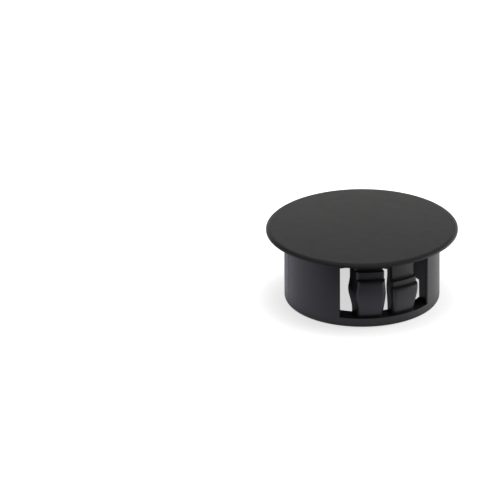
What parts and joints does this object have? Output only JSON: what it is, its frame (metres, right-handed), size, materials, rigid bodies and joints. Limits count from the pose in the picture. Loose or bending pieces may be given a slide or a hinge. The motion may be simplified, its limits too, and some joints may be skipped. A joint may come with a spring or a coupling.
{
  "type": "hole plug",
  "caption": "Snap-in plastic plug for a round sheet hole: thin rounded head, hollow barrel open below, side windows with stepped spring fingers.",
  "frame": {"origin": "centre of the open rim, on the plane the plug stands on", "axes": "+Z along the barrel towards the head, windows facing -Y and +Y"},
  "size_m": [0.027, 0.027, 0.0108],
  "materials": {
    "black_nylon": "satin, as moulded"
  },
  "bodies": {
    "root": {"hole_plug": "black_nylon"}
  },
  "joints": []
}
